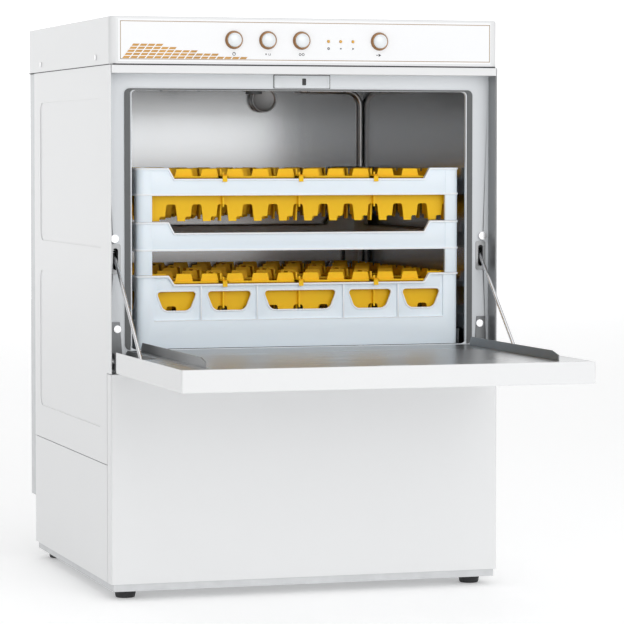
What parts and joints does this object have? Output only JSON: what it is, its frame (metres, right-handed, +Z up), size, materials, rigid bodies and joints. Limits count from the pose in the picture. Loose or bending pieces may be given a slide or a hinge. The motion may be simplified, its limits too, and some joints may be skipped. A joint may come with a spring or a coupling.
{
  "type": "commercial dishwasher",
  "caption": "Undercounter commercial dishwasher with a drop-down door, slide-out glass rack, rotating wash and rinse arms, push buttons and levelling feet.",
  "frame": {"origin": "on the floor under the middle of the machine's bounding box, measured with the door open", "axes": "+X to the right seen from the front, +Y to the back, +Z up"},
  "size_m": [0.6032, 1.0004, 0.855],
  "materials": {
    "white_enamel": "satin",
    "galvanised": "satin",
    "stainless": "brushed",
    "bright_steel": "polished",
    "dark_steel": "satin",
    "white_label": "gloss",
    "copper_bezel": "satin",
    "button_white": "gloss",
    "amber_lens": "gloss",
    "board_green": "matte",
    "black_rubber": "matte",
    "grey_plastic": "satin",
    "black_plastic": "matte",
    "motor_grey": "satin",
    "rack_blue_grey": "satin",
    "insert_yellow": "satin"
  },
  "bodies": {
    "casing": {"base_frame": "galvanised", "levelling_feet": "black_rubber", "lower_front_panel": "white_enamel", "side_skirts": "white_enamel", "side_panel_left": "white_enamel", "side_panel_right": "white_enamel", "rear_cover": "galvanised", "top_cover": "white_enamel", "fascia_label": "white_label", "button_bezels": "copper_bezel", "led_lenses": "amber_lens", "control_board": "board_green", "front_frame": "stainless", "header_strip": "white_enamel", "door_seal": "black_rubber", "latch_plate": "stainless", "hinge_brackets": "dark_steel", "hinge_pins": "bright_steel", "wash_chamber": "stainless", "wash_tank": "stainless", "tank_filter": "stainless", "filter_basket": "stainless", "overflow_standpipe": "grey_plastic", "chamber_rails": "stainless", "lower_arm_hub": "grey_plastic", "upper_arm_hub": "grey_plastic", "riser_tube": "stainless", "vent_cap": "grey_plastic", "wash_pump": "black_plastic", "pump_motor": "motor_grey", "boiler": "stainless", "boiler_element": "bright_steel", "tank_heater": "bright_steel", "dosing_pumps": "black_plastic", "inlet_valve": "black_plastic", "drain_outlet": "black_plastic", "cable_gland": "black_plastic", "casing_screws": "bright_steel"},
    "door": {"door_outer_panel": "white_enamel", "door_liner": "stainless", "door_rails": "stainless", "stay_pins": "bright_steel"},
    "stay_left": {"stay_rod_left": "bright_steel", "stay_spring_left": "bright_steel"},
    "stay_right": {"stay_rod_right": "bright_steel", "stay_spring_right": "bright_steel"},
    "rack": {"rack_base": "rack_blue_grey", "rack_floor": "rack_blue_grey", "rack_extender_lower": "rack_blue_grey", "rack_extender_upper": "rack_blue_grey", "lower_insert": "insert_yellow", "upper_insert": "insert_yellow"},
    "lower_wash_arm": {"lower_wash_arm": "grey_plastic"},
    "lower_rinse_arm": {"lower_rinse_arm": "grey_plastic"},
    "upper_wash_arm": {"upper_wash_arm": "grey_plastic"},
    "upper_rinse_arm": {"upper_rinse_arm": "grey_plastic"},
    "power_button": {"power_button": "button_white"},
    "drain_button": {"drain_button": "button_white"},
    "cycle_button": {"cycle_button": "button_white"},
    "start_button": {"start_button": "button_white"}
  },
  "joints": [
    {"name": "door_hinge", "type": "hinge", "parent": "casing", "child": "door", "pos_m": [0, -0.08625, 0.3505], "axis": [-1, 0, 0], "range_deg": [0, 90]},
    {"name": "stay_left_pivot", "type": "hinge", "parent": "door", "child": "stay_left", "pos_m": [-0.285, -0.23575, 0.3505], "axis": [1, 0, 0], "range_deg": [0, 45.5], "deforming": ["stay_spring_left"]},
    {"name": "stay_right_pivot", "type": "hinge", "parent": "door", "child": "stay_right", "pos_m": [0.285, -0.23575, 0.3505], "axis": [1, 0, 0], "range_deg": [0, 45.5], "deforming": ["stay_spring_right"]},
    {"name": "rack_slide", "type": "slide", "parent": "casing", "child": "rack", "axis": [0, 1, 0], "range_m": [-0.345, 0]},
    {"name": "lower_wash_arm_spin", "type": "hinge", "parent": "casing", "child": "lower_wash_arm", "pos_m": [0, 0.18825, 0.325], "axis": [0, 0, 1], "continuous": true},
    {"name": "lower_rinse_arm_spin", "type": "hinge", "parent": "casing", "child": "lower_rinse_arm", "pos_m": [0, 0.18825, 0.343], "axis": [0, 0, 1], "continuous": true},
    {"name": "upper_wash_arm_spin", "type": "hinge", "parent": "casing", "child": "upper_wash_arm", "pos_m": [0, 0.18825, 0.769], "axis": [0, 0, 1], "continuous": true},
    {"name": "upper_rinse_arm_spin", "type": "hinge", "parent": "casing", "child": "upper_rinse_arm", "pos_m": [0, 0.18825, 0.757], "axis": [0, 0, 1], "continuous": true},
    {"name": "power_button_press", "type": "slide", "parent": "casing", "child": "power_button", "axis": [0, 1, 0], "range_m": [0, 0.0025], "stiffness_N_per_m": 300},
    {"name": "drain_button_press", "type": "slide", "parent": "casing", "child": "drain_button", "axis": [0, 1, 0], "range_m": [0, 0.0025], "stiffness_N_per_m": 300},
    {"name": "cycle_button_press", "type": "slide", "parent": "casing", "child": "cycle_button", "axis": [0, 1, 0], "range_m": [0, 0.0025], "stiffness_N_per_m": 300},
    {"name": "start_button_press", "type": "slide", "parent": "casing", "child": "start_button", "axis": [0, 1, 0], "range_m": [0, 0.0025], "stiffness_N_per_m": 300}
  ],
  "couplings": [
    {"joint": "stay_left_pivot", "follows": "door_hinge", "ratio": 0.5},
    {"joint": "stay_right_pivot", "follows": "door_hinge", "ratio": 0.5}
  ]
}
